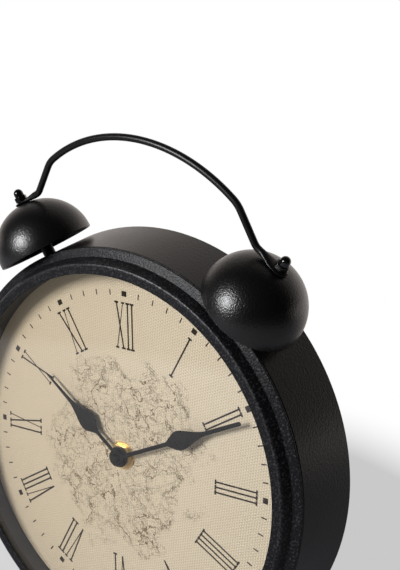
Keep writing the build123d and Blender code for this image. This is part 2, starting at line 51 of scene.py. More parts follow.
bl_info = {
    "name": "Table Clock",
    "version": (1, 0, 0),
    "blender": (4, 5, 0),
    "location": "View3D > Sidebar > Clock",
    "description": "Builds the visible pieces, finishes and stage of a round table clock with two bells",
    "category": "Object",
}

MM = 0.001
SMOOTH_ANGLE = radians(32)
BEVEL_ANGLE = radians(35)
FLAT_ANGLE = radians(0.5)
STRAIGHT_ANGLE = radians(178)
MERGE_DISTANCE = 0.002 * MM
SEAM_DISTANCE = 0.05 * MM
TURN_STEPS = 160
ROUND_STEPS = 24
CORNER_STEPS = 5

# The dial's centre and lean come from the hands' joint in the frame.
HAND_JOINT = next(joint for joint in frame["joints"] if joint["name"] == "minute_hand_turn")
DIAL_CENTRE = Vector(HAND_JOINT["pos_m"])
LEAN = atan2(-HAND_JOINT["axis"][2], HAND_JOINT["axis"][1])
CASE = Matrix.Translation(DIAL_CENTRE) @ Matrix.Rotation(pi / 2 - LEAN, 4, "X")
SIDES = {"left": -1, "right": 1}


def length(name, description, millimetres):
    return FloatProperty(name=name, description=description, default=millimetres * MM, unit="LENGTH")


def spot(name, description, millimetres):
    return FloatVectorProperty(name=name, description=description, subtype="XYZ", unit="LENGTH",
                               default=[value * MM for value in millimetres])


def turn(name, description, angle):
    return FloatProperty(name=name, description=description, default=radians(angle), subtype="ANGLE")


def share(name, description, value):
    return FloatProperty(name=name, description=description, default=value, subtype="FACTOR")


def colour(name, description, value):
    return FloatVectorProperty(name=name, description=description, default=value, subtype="COLOR",
                               min=0, max=1)


class ClockCase(bpy.types.PropertyGroup):
    """Sizes of the drum, the bezel and the glass"""

    mouth_radius: length("Mouth radius", "Drum radius at its front edge", 101.6)
    drum_flare: length("Drum flare", "How much wider the drum is at the back", 5.2)
    mouth_height: length("Mouth height", "Drum's front edge above the dial", 7.2)
    drum_depth: length("Drum depth", "Drum from front edge to back edge", 32.9)
    drum_wall: length("Drum wall", "Sheet thickness of the drum", 1.0)
    rear_recess: length("Rear recess", "Depth of the back cover inside the drum's rear edge", 3.5)
    flange_width: length("Flange width", "Inner flange that carries the back cover", 8.3)
    bezel_seam: length("Bezel seam", "Step between the bezel's edge and the drum", 0.15)
    ledge_width: length("Ledge width", "Flat outer ledge of the bezel", 4.25)
    ledge_rise: length("Ledge rise", "Inner edge of the ledge above the drum's mouth", 2.0)
    step_run: length("Step run", "Radial run of the step between ledge and rim", 2.3)
    step_rise: length("Step rise", "Height of the rim above the ledge", 4.7)
    lip_width: length("Lip width", "Flat inner lip of the bezel", 4.9)
    bezel_sheet: length("Bezel sheet", "Sheet thickness of the bezel", 1.0)
    skirt_depth: length("Skirt depth", "Bezel skirt inside the drum", 4.5)
    skirt_clearance: length("Skirt clearance", "Gap between the skirt and the drum", 0.1)


class ClockBells(bpy.types.PropertyGroup):
    """Sizes of the bells, cap nuts, handle and feet"""

    bell_angle: turn("Bell angle", "Bell from the top of the drum", 33.55)
    bell_station: length("Bell station", "Bell axis behind the dial", 3.35)
    bell_lift: length("Bell lift", "Bell rim above the drum", 3.5)
    bell_radius: length("Bell radius", "Radius of the bell's rim", 23.8)
    bell_height: length("Bell height", "Height of the bell", 23.8)
    bell_skirt: length("Bell skirt", "Straight rim of the bell", 1.3)
    bell_wall: length("Bell wall", "Thickness of the bell", 1.0)
    crown_radius: length("Crown radius", "Flat crown of the bell", 4.0)
    nut_flats: length("Nut flats", "Cap nut across flats", 5.5)
    nut_height: length("Nut height", "Hexagon of the cap nut", 2.4)
    cap_height: length("Cap height", "Whole cap nut", 6.3)
    cap_radius: length("Cap radius", "Dome of the cap nut", 2.3)
    stud_radius: length("Stud radius", "Threaded stud through the bell", 1.5)
    wire_radius: length("Wire radius", "Handle wire", 1.6)
    tab_thickness: length("Tab thickness", "Flattened end of the handle", 1.8)
    tab_radius: length("Tab radius", "Rounded end of the tab", 4.0)
    tab_waist: length("Tab waist", "Half width where the tab meets the neck", 3.6)
    tab_neck: length("Tab neck", "Post axis to where the wire is round", 10.0)
    tab_run: length("Tab run", "Post axis to the first bend", 13.5)
    leg_run: length("Leg run", "First bend to the arch", 18.8)
    leg_lean: turn("Leg lean", "Lean of the handle's legs", 28.3)
    leg_bend: length("Leg bend", "Bend radius at the foot of the leg", 6.0)
    arch_bend: length("Arch bend", "Bend radius at the top of the leg", 14.0)
    handle_rise: length("Handle rise", "Top of the arch above the post's root", 49.95)
    foot_angle: turn("Foot angle", "Foot from the bottom of the drum", 33.55)
    foot_station: length("Foot station", "Foot axis behind the dial", 6.0)
    foot_collar: length("Foot collar", "Collar radius", 6.0)
    foot_collar_height: length("Foot collar height", "Collar height", 2.5)
    foot_neck: length("Foot neck", "Neck radius", 3.4)
    foot_ball: length("Foot ball", "Ball radius", 6.5)
    foot_flat: length("Foot flat", "Depth of the ground flat under the ball", 0.5)


class ClockDial(bpy.types.PropertyGroup):
    """Sizes of the dial's print and weave"""

    dial_turn: turn("Dial turn", "Turn of the print from upright", -4.7)
    print_height: length("Print height", "Thickness of the printed ink", 0.03)
    track_radius: length("Track radius", "Inner end of the minute marks", 78.2)
    minute_mark: length("Minute mark", "Length of a minute mark", 2.7)
    minute_mark_width: length("Minute mark width", "Width of a minute mark", 0.6)
    hour_mark: length("Hour mark", "Length of an hour mark", 2.5)
    hour_mark_width: length("Hour mark width", "Width of an hour mark", 2.8)
    stroke: length("Stroke", "Width of a bold stroke", 0.80)
    hairline: length("Hairline", "Width of a thin stroke", 0.48)
    numeral_inner: length("Numeral inner", "Inner end of the numerals", 53.4)
    numeral_outer: length("Numeral outer", "Outer end of the numerals", 75.0)
    stem_pitch: length("Stem pitch", "Distance between the stems of a numeral", 2.5)
    letter_width: length("Letter width", "Width of a V or an X between its ends", 3.7)
    letter_gap: length("Letter gap", "Gap between letters", 2.8)
    serif_reach: length("Serif reach", "Serif beyond its stroke", 0.75)
    serif_depth: length("Serif depth", "Thickness of a serif", 0.9)
    foot_shift: length("Foot shift", "Lean of the numerals, at their feet", 1.0)
    weave_across: length("Weave across", "Two upright threads of the linen", 2.5)
    weave_up: length("Weave up", "Two level threads of the linen", 1.39)
    figure_radius: length("Figure radius", "Reach of the printed line network", 47.0)


class ClockHands(bpy.types.PropertyGroup):
    """Sizes of the two hands"""

    thickness: length("Thickness", "Sheet of the hands", 0.5)
    hour_turn: turn("Hour turn", "Hour hand from upright", 300.2)
    hour_height: length("Hour height", "Hour hand above the dial", 2.9)
    hour_length: length("Hour length", "Hour hand from its axis", 56.0)
    hour_hub: length("Hour hub", "Hub radius of the hour hand", 5.0)
    hour_bore: length("Hour bore", "Hole for the hour pipe", 2.52)
    hour_bar: length("Hour bar", "Half width of the hour hand's bar", 0.95)
    hour_tip: length("Hour tip", "Half width of the hour hand's tip", 0.4)
    hour_leaf: length("Hour leaf", "Half width of the hour hand's leaf", 5.2)
    hour_leaf_start: length("Hour leaf start", "Where the hour hand's leaf starts", 16.2)
    hour_leaf_widest: length("Hour leaf widest", "Where the hour hand's leaf is widest", 24.0)
    hour_leaf_end: length("Hour leaf end", "Where the hour hand's leaf ends", 38.0)
    minute_turn: turn("Minute turn", "Minute hand from upright", 58.5)
    minute_height: length("Minute height", "Minute hand above the dial", 4.6)
    minute_length: length("Minute length", "Minute hand from its axis", 76.5)
    minute_hub: length("Minute hub", "Hub radius of the minute hand", 4.2)
    minute_bore: length("Minute bore", "Hole for the hand stud", 1.02)
    minute_bar: length("Minute bar", "Half width of the minute hand's bar", 1.0)
    minute_tip: length("Minute tip", "Half width of the minute hand's tip", 1.0)
    minute_leaf: length("Minute leaf", "Half width of the minute hand's leaf", 4.6)
    minute_leaf_start: length("Minute leaf start", "Where the minute hand's leaf starts", 33.0)
    minute_leaf_widest: length("Minute leaf widest", "Where the minute hand's leaf is widest", 41.0)
    minute_leaf_end: length("Minute leaf end", "Where the minute hand's leaf ends", 56.0)


class ClockColours(bpy.types.PropertyGroup):
    """Colours of the finishes"""

    drum: colour("Drum", "Matt black paint", (0.0085, 0.0072, 0.0066))
    bezel: colour("Bezel", "Textured black paint", (0.0080, 0.0080, 0.0092))
    bell: colour("Bell", "Satin black paint", (0.0045, 0.0040, 0.0040))
    wire: colour("Wire", "Handle paint", (0.0050, 0.0048, 0.0048))
    nut: colour("Nut", "Gloss black paint", (0.0040, 0.0040, 0.0045))
    linen: colour("Linen", "Dial cloth", (0.833, 0.723, 0.540))
    # Linen shade is painted shade: it darkens the cloth between the threads and towards the dial's left.
    linen_shade: colour("Linen shade", "Dial cloth between the threads", (0.585, 0.472, 0.318))
    sepia: colour("Sepia", "Printed line network", (0.145, 0.092, 0.034))
    ink: colour("Ink", "Printed numerals", (0.028, 0.020, 0.012))
    hands: colour("Hands", "Hand paint", (0.010, 0.0085, 0.006))
    plastic: colour("Plastic", "Moulded black plastic", (0.036, 0.036, 0.038))
    board: colour("Board", "Dial backing board", (0.30, 0.19, 0.11))
    steel: colour("Steel", "Plated steel", (0.55, 0.55, 0.57))
    brass: colour("Brass", "Turned brass", (0.78, 0.56, 0.26))
    acetal: colour("Acetal", "Moulded white plastic", (0.80, 0.79, 0.75))
    cell: colour("Cell", "Battery sleeve", (0.05, 0.05, 0.055))
    cell_band: colour("Cell band", "Plain band on the battery sleeve", (0.55, 0.33, 0.12))
    lamp: colour("Lamp", "Light of the lamp", (0.98, 0.985, 1.0))
    floor: colour("Floor", "Floor of the stage", (0.50, 0.50, 0.50))
    floor_sheet: colour("Floor sheet", "Pale sheet on the floor, as gloss shows it", (0.44, 0.44, 0.475))
    floor_beyond: colour("Floor beyond", "Floor past the pale sheet, as gloss shows it", (0.05, 0.05, 0.05))
    wall: colour("Wall", "Wall behind the clock, as gloss shows it", (1.0, 0.92, 0.87))


class ClockStage(bpy.types.PropertyGroup):
    """Camera, lamp, floor and surroundings"""

    camera_place: spot("Camera place", "Camera position", (250.758, -304.073, 359.993))
    camera_azimuth: turn("Camera azimuth", "Camera round to the right of the dial", 34.927)
    camera_pitch: turn("Camera pitch", "Camera's tilt up from straight down", 67.290)
    camera_roll: turn("Camera roll", "Camera's turn about its view", 0.790)
    lens: FloatProperty(name="Lens", description="Focal length in millimetres", default=59.853)
    lamp_place: spot("Lamp place", "Middle of the softbox", (-500, -1100, 640))
    lamp_aim: spot("Lamp aim", "Where the softbox points", (0, 0, 120))
    lamp_size: length("Lamp size", "Width of the softbox", 500)
    lamp_power: FloatProperty(name="Lamp power", description="Power of the softbox", default=15.0,
                              unit="POWER")
    floor_size: length("Floor size", "Width of the floor", 8000)
    floor_lift: share("Floor lift", "White mixed into the floor where it is seen", 0.55)
    shadow_reach: length("Shadow reach", "Where the floor starts to fade to white", 140)
    sheet_reach: length("Sheet reach", "Pale floor that the glass mirrors", 665)
    sheet_edge: length("Sheet edge", "Half of the soft edge of the pale floor", 46.55)
    wall_way: FloatVectorProperty(name="Wall way", description="Direction of the wall that gloss shows",
                                  subtype="XYZ", default=(-0.34, 0.94, 0.0))
    wall_fade: share("Wall fade", "How much darker the wall is high up", 0.45)
    ambient: share("Ambient", "Light of the surroundings on the object", 0.17)


class ClockSettings(bpy.types.PropertyGroup):
    """All settings of the table clock"""

    case: PointerProperty(type=ClockCase)
    bells: PointerProperty(type=ClockBells)
    dial: PointerProperty(type=ClockDial)
    hands: PointerProperty(type=ClockHands)
    colours: PointerProperty(type=ClockColours)
    stage: PointerProperty(type=ClockStage)


def settings():
    return bpy.context.scene.table_clock


# Shader values and finishes

class Shade:
    """A value in a finish's node tree: arithmetic on it adds Math nodes."""

    def __init__(self, finish, socket):
        self.finish = finish
        self.socket = socket

    def math(self, operation, *operands):
        sockets = dict(enumerate((self, *operands)))
        return self.finish.node("ShaderNodeMath", {"operation": operation}, sockets)

    def __add__(self, other):
        return self.math("ADD", other)

    def __sub__(self, other):
        return self.math("SUBTRACT", other)

    def __mul__(self, other):
        return self.math("MULTIPLY", other)

    def __truediv__(self, other):
        return self.math("DIVIDE", other)

    def __abs__(self):
        return self.math("ABSOLUTE")

    def __rsub__(self, other):
        return self.finish.node("ShaderNodeMath", {"operation": "SUBTRACT"}, {0: other, 1: self})

    __radd__ = __add__
    __rmul__ = __mul__

    def sine(self):
        return self.math("SINE")

    def largest(self, other):
        return self.math("MAXIMUM", other)

    def axis(self, name):
        return self.finish.node("ShaderNodeSeparateXYZ", None, {0: self}, output=name)

    def vector_math(self, operation, *operands, output="Vector"):
        sockets = dict(enumerate((self, *operands)))
        return self.finish.node("ShaderNodeVectorMath", {"operation": operation}, sockets, output)

    def dot(self, way):
        return self.vector_math("DOT_PRODUCT", way, output="Value")

    def reach(self):
        return self.vector_math("LENGTH", output="Value")

    def smooth(self, low, high):
        """0 below low, 1 above high, and a smooth step between them, which runs down if low is above high."""
        return self.finish.node("ShaderNodeMapRange", {"interpolation_type": "SMOOTHSTEP"},
                                {"Value": self, "From Min": low, "From Max": high})


class Finish:
    """The node tree of a new material, or of a new world, in the making."""

    def __init__(self, name, library="materials"):
        self.owner = getattr(bpy.data, library).new(name)
        self.owner.use_nodes = True
        self.tree = self.owner.node_tree

    def connect(self, socket, value):
        if isinstance(value, Shade):
            self.tree.links.new(value.socket, socket)
        elif socket.type == "RGBA" and len(value) == 3:
            socket.default_value = (*value, 1)
        else:
            socket.default_value = value

    def node(self, kind, options=None, sockets=None, output=0):
        """Any node: its settings first, then the values or links of its sockets."""
        made = self.tree.nodes.new(kind)
        for name, value in (options or {}).items():
            setattr(made, name, value)
        for name, value in (sockets or {}).items():
            self.connect(made.inputs[name], value)
        return Shade(self, made.outputs[output])

    def place(self):
        return self.node("ShaderNodeTexCoord", output="Object")

    def noise(self, size, detail=2, roughness=0.5, at=None, output=0):
        """Noise whose lumps are about size across."""
        return self.node("ShaderNodeTexNoise", None, {
            "Vector": at or self.place(), "Scale": 1 / size, "Detail": detail, "Roughness": roughness,
        }, output)

    def mix(self, factor, low, high):
        return self.node("ShaderNodeMix", {"data_type": "RGBA"}, {0: factor, 6: low, 7: high}, output=2)

    def tinted(self, value, base, low, high):
        """The base colour, darker or lighter by a value from 0 to 1."""
        return self.mix(value, [c * low for c in base], [min(1, c * high) for c in base])

    def bump(self, height, depth):
        """Relief from a height of 0 to 1 that stands for a depth in metres."""
        return self.node("ShaderNodeBump", None, {"Height": height, "Distance": depth, "Strength": 1})

    def finished(self, shader="Principled BSDF", **sockets):
        """Sets the shader's sockets and returns the material or the world."""
        inputs = self.tree.nodes[shader].inputs
        for name, value in sockets.items():
            self.connect(inputs[name.replace("_", " ").title().replace("Ior", "IOR")], value)
        return self.owner

    def covered(self, amount, cover):
        """Lays another shader over the surface, by an amount from 0 to 1."""
        surface = Shade(self, self.tree.nodes["Principled BSDF"].outputs[0])
        both = self.node("ShaderNodeMixShader", None, {0: amount, 1: surface, 2: cover})
        self.connect(self.tree.nodes["Material Output"].inputs["Surface"], both)


def painted(name, base, roughness, grain, depth, specular, mottle=0.12, coat=0.0):
    """Paint or powder coat: a fine grain in relief, with uneven colour and gloss."""
    finish = Finish(name)
    grain_height = finish.noise(grain, detail=2)
    patch = finish.noise(14 * MM, detail=3)
    return finish.finished(
        base_color=finish.tinted(grain_height * 0.5 + patch * 0.5, base, 1 - 2 * mottle, 1 + 2 * mottle),
        roughness=roughness - 0.06 + patch * 0.12,
        specular_ior_level=specular,
        coat_weight=coat,
        normal=finish.bump(grain_height, depth),
    )


def drum_paint():
    """Smooth matt paint, a little warm, with a faint spray grain."""
    finish = Finish("matt_drum_paint")
    spray = finish.noise(1.1 * MM, detail=2)
    patch = finish.noise(18 * MM, detail=3)
    return finish.finished(
        base_color=finish.tinted(spray * 0.6 + patch * 0.4, settings().colours.drum, 0.7, 1.3),
        roughness=0.26 + patch * 0.06 + spray * 0.08,
        specular_ior_level=0.5,
        normal=finish.bump(spray, 0.11 * MM),
    )


def bezel_paint():
    """Sand-textured powder coat, rubbed smoother on the rim, with painted glints: specks of lighter base colour
    that stand for grains catching the light.
    """
    finish = Finish("sand_bezel_paint")
    base = settings().colours.bezel
    sand = finish.noise(1.0 * MM, detail=2, roughness=0.6)
    # Painted glints: specks where the base colour is five times lighter, in place of grains that catch the light.
    painted_glint = finish.noise(0.9 * MM, detail=1).smooth(0.54, 0.68)
    patch = finish.noise(9 * MM, detail=2)
    radius = dial_place(finish).vector_math("MULTIPLY", (1, 1, 0)).reach()
    case = settings().case
    rim = case.mouth_radius - case.bezel_seam - case.ledge_width - case.step_run
    rubbed = radius.smooth(rim - 1.6 * MM, rim - 0.8 * MM) * radius.smooth(rim + 0.9 * MM, rim + 0.1 * MM)
    return finish.finished(
        base_color=finish.mix(painted_glint, base, [c * 5 for c in base]),
        roughness=0.34 + patch * 0.06,
        specular_ior_level=0.2,
        coat_weight=rubbed * sand.smooth(0.38, 0.62),
        coat_roughness=0.42,
        normal=finish.bump(sand, 0.20 * MM),
    )


def bell_paint():
    """Satin powder coat with an orange-peel surface."""
    finish = Finish("satin_bell_paint")
    base = settings().colours.bell
    peel = finish.noise(0.75 * MM, detail=1)
    fine = finish.noise(0.5 * MM, detail=1)
    patch = finish.noise(16 * MM, detail=2)
    return finish.finished(
        base_color=finish.tinted(patch, base, 0.85, 1.2),
        roughness=0.25 + fine * 0.10,
        specular_ior_level=0.70,
        normal=finish.bump(peel * 0.8 + fine * 0.2, 0.15 * MM),
    )


def wire_paint():
    return painted("satin_wire_paint", settings().colours.wire, 0.34, 0.6 * MM, 0.02 * MM, 0.4)


def nut_paint():
    return painted("gloss_nut_paint", settings().colours.nut, 0.16, 0.8 * MM, 0.008 * MM, 0.5, coat=0.3)


def foot_paint():
    return painted("satin_foot_paint", settings().colours.bell, 0.4, 0.7 * MM, 0.03 * MM, 0.35)


def hand_paint():
    return painted("hand_paint", settings().colours.hands, 0.6, 0.3 * MM, 0.008 * MM, 0.04)


def moulded(name, base, roughness, grain):
    """Moulded plastic with a spark-eroded grain."""
    return painted(name, base, roughness, grain, 0.02 * MM, 0.5, mottle=0.06)


def board():
    """Pressed fibre board: matted fibres, light and dark."""
    finish = Finish("fibre_board")
    at = finish.node("ShaderNodeMapping", None, {"Vector": finish.place(), "Scale": (1, 3, 3)})
    fibre = finish.noise(1.1 * MM, detail=5, roughness=0.7, at=at)
    return finish.finished(
        base_color=finish.tinted(fibre, settings().colours.board, 0.6, 1.4),
        roughness=0.75 + fibre * 0.15,
        normal=finish.bump(fibre, 0.05 * MM),
    )


def metal(name, base, roughness, streak):
    """Bare metal with fine tool streaks."""
    finish = Finish(name)
    at = finish.node("ShaderNodeMapping", None, {"Vector": finish.place(), "Scale": (1, 1, 8)})
    lines = finish.noise(streak, detail=3, at=at)
    patch = finish.noise(6 * MM, detail=2)
    return finish.finished(
        base_color=finish.tinted(patch, base, 0.85, 1.08),
        metallic=1.0,
        roughness=roughness + lines * 0.15,
        normal=finish.bump(lines, 0.006 * MM),
    )


def cell_sleeve():
    """Printed sleeve: a dark body with one plain band at the positive end."""
    finish = Finish("cell_sleeve")
    colours = settings().colours
    across = finish.place().axis("X")
    band_start, band_end, edge = 11.4 * MM, 24.0 * MM, 0.1 * MM
    band = across.smooth(band_start, band_start + edge) * (1 - across.smooth(band_end, band_end + edge))
    wear = finish.noise(3 * MM, detail=4)
    return finish.finished(
        base_color=finish.mix(band, colours.cell, colours.cell_band),
        roughness=0.28 + wear * 0.15,
        metallic=band * 0.6,
        normal=finish.bump(wear, 0.01 * MM),
    )


def dial_place(finish):
    """Object coordinates turned into the dial's own frame, in metres."""
    return finish.node("ShaderNodeMapping", {"vector_type": "TEXTURE"}, {
        "Vector": finish.place(), "Location": tuple(DIAL_CENTRE), "Rotation": (pi / 2 - LEAN, 0, 0)})


def weave(finish, at):
    """Height of a plain weave, from 0 to 1, with threads that wander a little."""
    wander = finish.noise(25 * MM, detail=2, at=at) * 0.4
    dial = settings().dial
    warp = (at.axis("X") / dial.weave_across + wander) * (2 * pi)
    weft = (at.axis("Y") / dial.weave_up + wander) * (2 * pi)
    slub = finish.noise(0.9 * MM, detail=2, at=at)
    return warp.sine() * weft.sine() * 0.22 + (warp * 2).sine() * 0.12 + slub * 0.3 + 0.35


def line_network(finish, at):
    """Fine printed lines: level lines and three sizes of cracked cells inside a ragged round patch."""
    wobble = 5 * MM
    bend = finish.noise(wobble, detail=4, roughness=0.7, at=at, output="Color")
    bent = bend.vector_math("MULTIPLY_ADD", (wobble, wobble, 0), at)
    ragged = finish.noise(26 * MM, detail=5, roughness=0.62, at=at)
    patch = (at.reach() / settings().dial.figure_radius + (ragged - 0.5) * 1.6).smooth(1.02, 0.86)
    lines = None
    for size, width, weight in ((34 * MM, 0.006, 1.0), (17 * MM, 0.008, 0.8), (8 * MM, 0.012, 0.5)):
        level = abs(finish.noise(size, detail=6, roughness=0.58, at=at) - 0.5)
        line = level.smooth(width, width * 0.3) * weight
        lines = lines.largest(line) if lines else line
    for cell, width, weight in ((7.0 * MM, 0.03, 0.7), (3.6 * MM, 0.05, 0.55), (1.9 * MM, 0.09, 0.4)):
        edge = finish.node("ShaderNodeTexVoronoi", {
            "feature": "DISTANCE_TO_EDGE", "voronoi_dimensions": "2D"}, {"Vector": bent, "Scale": 1 / cell})
        broken = finish.noise(cell * 1.6, detail=3, at=at).smooth(0.44, 0.6)
        lines = lines.largest(edge.smooth(width, width * 0.35) * broken * weight)
    return lines * patch


def linen():
    """Beige linen with the printed line network, painted shade between the threads, and painted shade that darkens
    the cloth towards the dial's left.
    """
    finish = Finish("printed_linen")
    colours = settings().colours
    at = dial_place(finish)
    threads = weave(finish, at)
    age = finish.noise(40 * MM, detail=4, at=at)
    # Painted shade between the threads: the low parts of the weave take the linen shade colour.
    cloth = finish.mix(threads.smooth(0.15, 0.75), colours.linen_shade, colours.linen)
    # Painted shade: the cloth darkens towards the dial's left, up to two thirds of the way to the linen shade.
    painted_left_shade = at.axis("X").smooth(60 * MM, -90 * MM) * 0.67
    # Random age tone together with the painted shade towards the left.
    aged_and_shaded = finish.mix((age - 0.35) * 0.3 + painted_left_shade, cloth, colours.linen_shade)
    return finish.finished(
        base_color=finish.mix(line_network(finish, at), aged_and_shaded, colours.sepia),
        roughness=0.82 - threads * 0.08,
        specular_ior_level=0.2,
        normal=finish.bump(threads, 0.32 * MM),
    )


def ink():
    """Print ink over linen: matt, with painted shade in the weave that darkens it where a thread dips and lightens
    it on the thread tops.
    """
    finish = Finish("print_ink")
    colours = settings().colours
    threads = weave(finish, dial_place(finish))
    return finish.finished(
        # Painted shade: the ink darkens in the weave's dips and lightens on the thread tops.
        base_color=finish.tinted(threads, colours.ink, 0.7, 1.3),
        roughness=0.7 + threads * 0.1,
        specular_ior_level=0.04,
        normal=finish.bump(threads, 0.02 * MM),
    )


def clear_glass():
    """Flat glass with a trace of dust in its gloss."""
    finish = Finish("clear_glass")
    dust = finish.noise(20 * MM, detail=4)
    return finish.finished(base_color=(1, 1, 1), roughness=dust * 0.02, transmission_weight=1.0, ior=1.5)


def finish_for(slot):
    """The material of a slot, made the first time that it is asked for."""
    colours = settings().colours
    makers = {
        "black_drum": drum_paint, "black_bezel": bezel_paint, "black_bell": bell_paint,
        "black_wire": wire_paint, "black_nut": nut_paint, "black_foot": foot_paint,
        "hand_grey": hand_paint, "linen": linen, "ink": ink, "glass": clear_glass, "hardboard": board,
        "cell": cell_sleeve,
        "black_plastic": lambda: moulded("black_plastic", colours.plastic, 0.45, 0.5 * MM),
        "acetal": lambda: moulded("acetal", colours.acetal, 0.35, 0.6 * MM),
        "steel": lambda: metal("plated_steel", colours.steel, 0.28, 0.5 * MM),
        "brass": lambda: metal("turned_brass", colours.brass, 0.24, 0.4 * MM),
    }
    key = f"slot_{slot}"
    if key not in bpy.data.materials:
        makers[slot]().name = key
    return bpy.data.materials[key]


# Modelling helpers

def select_only(*pieces):
    """Selects these pieces and nothing else, and makes the first one active."""
    bpy.ops.object.select_all(action="DESELECT")
    for piece in pieces:
        piece.select_set(True)
    bpy.context.view_layer.objects.active = pieces[0]


def start_piece(name, add, **options):
    """Adds a primitive with nothing else selected, and opens it in edit mode."""
    bpy.ops.object.select_all(action="DESELECT")
    add(**options)
    piece = bpy.context.object
    piece.name = name
    piece.data.name = name
    bpy.ops.object.mode_set(mode="EDIT")
    return piece


def close_piece(piece, place=None):
    """Merges the mesh, turns its faces outwards, leaves edit mode and puts the piece in its place."""
    bpy.ops.mesh.select_all(action="SELECT")
    bpy.ops.mesh.remove_doubles(threshold=MERGE_DISTANCE)
    bpy.ops.mesh.normals_make_consistent(inside=False)
    bpy.ops.object.mode_set(mode="OBJECT")
    return placed(piece, place or Matrix.Identity(4))


def placed(piece, place):
    """Moves a piece, and applies the move to its mesh."""
    select_only(piece)
    piece.matrix_world = place @ piece.matrix_world
    bpy.ops.object.transform_apply(location=True, rotation=True, scale=True)
    return piece


def paired(piece, name, places):
    """The piece and a copy with its own mesh, named for and moved to their two sides."""
    select_only(piece)
    bpy.ops.object.duplicate()
    pair = dict(zip(SIDES, (piece, bpy.context.object)))
    for side, each in pair.items():
        each.name = each.data.name = f"{name}_{side}"
        placed(each, places[side])
    return pair


def add_modifier(piece, kind, **options):
    """Adds a modifier, sets it and applies it."""
    bpy.context.view_layer.objects.active = piece
    modifier = piece.modifiers.new(kind.lower(), kind)
    for name, value in options.items():
        setattr(modifier, name, value)
    bpy.ops.object.modifier_apply(modifier=modifier.name)


def mirrored(piece):
    """Adds the other half across x, and merges the two where they meet."""
    add_modifier(piece, "MIRROR", use_axis=(True, False, False), merge_threshold=SEAM_DISTANCE)


def bevelled(piece, width, segments=2):
    """Rounds the piece's sharp edges."""
    add_modifier(piece, "BEVEL", width=width, segments=segments, limit_method="ANGLE",
                 angle_limit=BEVEL_ANGLE)


def coated(piece, slot):
    """Gives the piece the finish of a slot, in place of what it has."""
    piece.data.materials.clear()
    piece.data.materials.append(finish_for(slot))


def mounted(piece, slot, body, *nodes, paint=None):
    """Smooths a finished piece, gives it the finish of its slot or of the paint named, ties it to its body, and
    hides the nodes it stands for.
    """
    select_only(piece)
    bpy.ops.object.shade_smooth_by_angle(angle=SMOOTH_ANGLE)
    add_modifier(piece, "WEIGHTED_NORMAL", keep_sharp=True)
    coated(piece, paint or slot)
    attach(piece, body)
    if nodes:
        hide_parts(*nodes)


def rounded(corners):
    """An outline of (x, y, radius) corners, with each corner that has a radius drawn as an arc."""
    outline = []
    for index, (x, y, radius) in enumerate(corners):
        corner = Vector((x, y))
        before = (Vector(corners[index - 1][:2]) - corner).normalized()
        after = (Vector(corners[(index + 1) % len(corners)][:2]) - corner).normalized()
        half = acos(max(-1, min(1, before.dot(after)))) / 2
        if not radius or 2 * half > STRAIGHT_ANGLE:
            outline.append(corner)
            continue
        centre = corner + (before + after).normalized() * (radius / sin(half))
        first = corner + before * (radius / tan(half)) - centre
        last = corner + after * (radius / tan(half)) - centre
        sweep = first.angle_signed(last)
        for step in range(CORNER_STEPS + 1):
            outline.append(centre + Matrix.Rotation(-sweep * step / CORNER_STEPS, 2) @ first)
    return outline


def arc(centre, radius, start, end, steps):
    """Points on an arc, from one angle to another."""
    angles = [start + (end - start) * step / steps for step in range(steps + 1)]
    return [Vector((centre[0] + radius * cos(a), centre[1] + radius * sin(a))) for a in angles]


def drawn(name, points):
    """Draws a closed outline by extruding a point from corner to corner, and leaves it selected."""
    piece = start_piece(name, bpy.ops.mesh.primitive_plane_add, size=MM)
    bpy.ops.mesh.merge(type="CENTER")
    bpy.ops.transform.translate(value=points[0])
    for here, there in zip(points, (*points[1:], points[0])):
        bpy.ops.mesh.extrude_region_move(TRANSFORM_OT_translate={"value": there - here})
    bpy.ops.mesh.select_all(action="SELECT")
    bpy.ops.mesh.remove_doubles(threshold=MERGE_DISTANCE)
    return piece


def turned(name, outline, place=None):
    """Draws a half section of (radius, height) points and spins it round."""
    piece = drawn(name, [Vector((x, 0, z)) for x, z in outline])
    bpy.ops.mesh.spin(steps=TURN_STEPS, angle=2 * pi, center=(0, 0, 0), axis=(0, 0, 1))
    return close_piece(piece, place)


def copied(node, name):
    """A merged copy of a CAD node's mesh, with its flat faces cleared of inner edges."""
    source = frame["nodes"][node]
    piece = bpy.data.objects.new(name, source.data.copy())
    piece.data.name = name
    bpy.context.scene.collection.objects.link(piece)
    select_only(piece)
    bpy.ops.object.mode_set(mode="EDIT")
    bpy.ops.mesh.select_all(action="SELECT")
    bpy.ops.mesh.remove_doubles(threshold=MERGE_DISTANCE)
    bpy.ops.mesh.dissolve_limited(angle_limit=FLAT_ANGLE)
    bpy.ops.object.mode_set(mode="OBJECT")
    if piece.data.has_custom_normals:
        bpy.ops.mesh.customdata_custom_splitnormals_clear()
    return piece


def joined(name, *pieces):
    """One piece made of several, with a name of its own."""
    select_only(*pieces)
    bpy.ops.object.join()
    pieces[0].name = pieces[0].data.name = name
    return pieces[0]


# Places on the clock

def flare_angle():
    case = settings().case
    return atan(case.drum_flare / case.drum_depth)


def drum_radius(height):
    case = settings().case
    return case.mouth_radius + (case.mouth_height - height) * tan(flare_angle())


def wall_place(angle, station):
    """A place on the drum's wall, at an angle clockwise from the top, with z square to the wall."""
    flare = flare_angle()
    around = Vector((cos(angle), -sin(angle), 0))
    out = Vector((sin(angle) * cos(flare), cos(angle) * cos(flare), sin(flare)))
    radius = drum_radius(-station)
    base = Vector((radius * sin(angle), radius * cos(angle), -station))
    axes = Matrix((around, out.cross(around), out)).transposed().to_4x4()
    return CASE @ Matrix.Translation(base) @ axes


def bell_places(height):
    """Places on the axes of the two bells, at a height above the drum's wall."""
    bells = settings().bells
    lift = Matrix.Translation((0, 0, height))
    return {side: wall_place(way * bells.bell_angle, bells.bell_station) @ lift
            for side, way in SIDES.items()}


# Steps

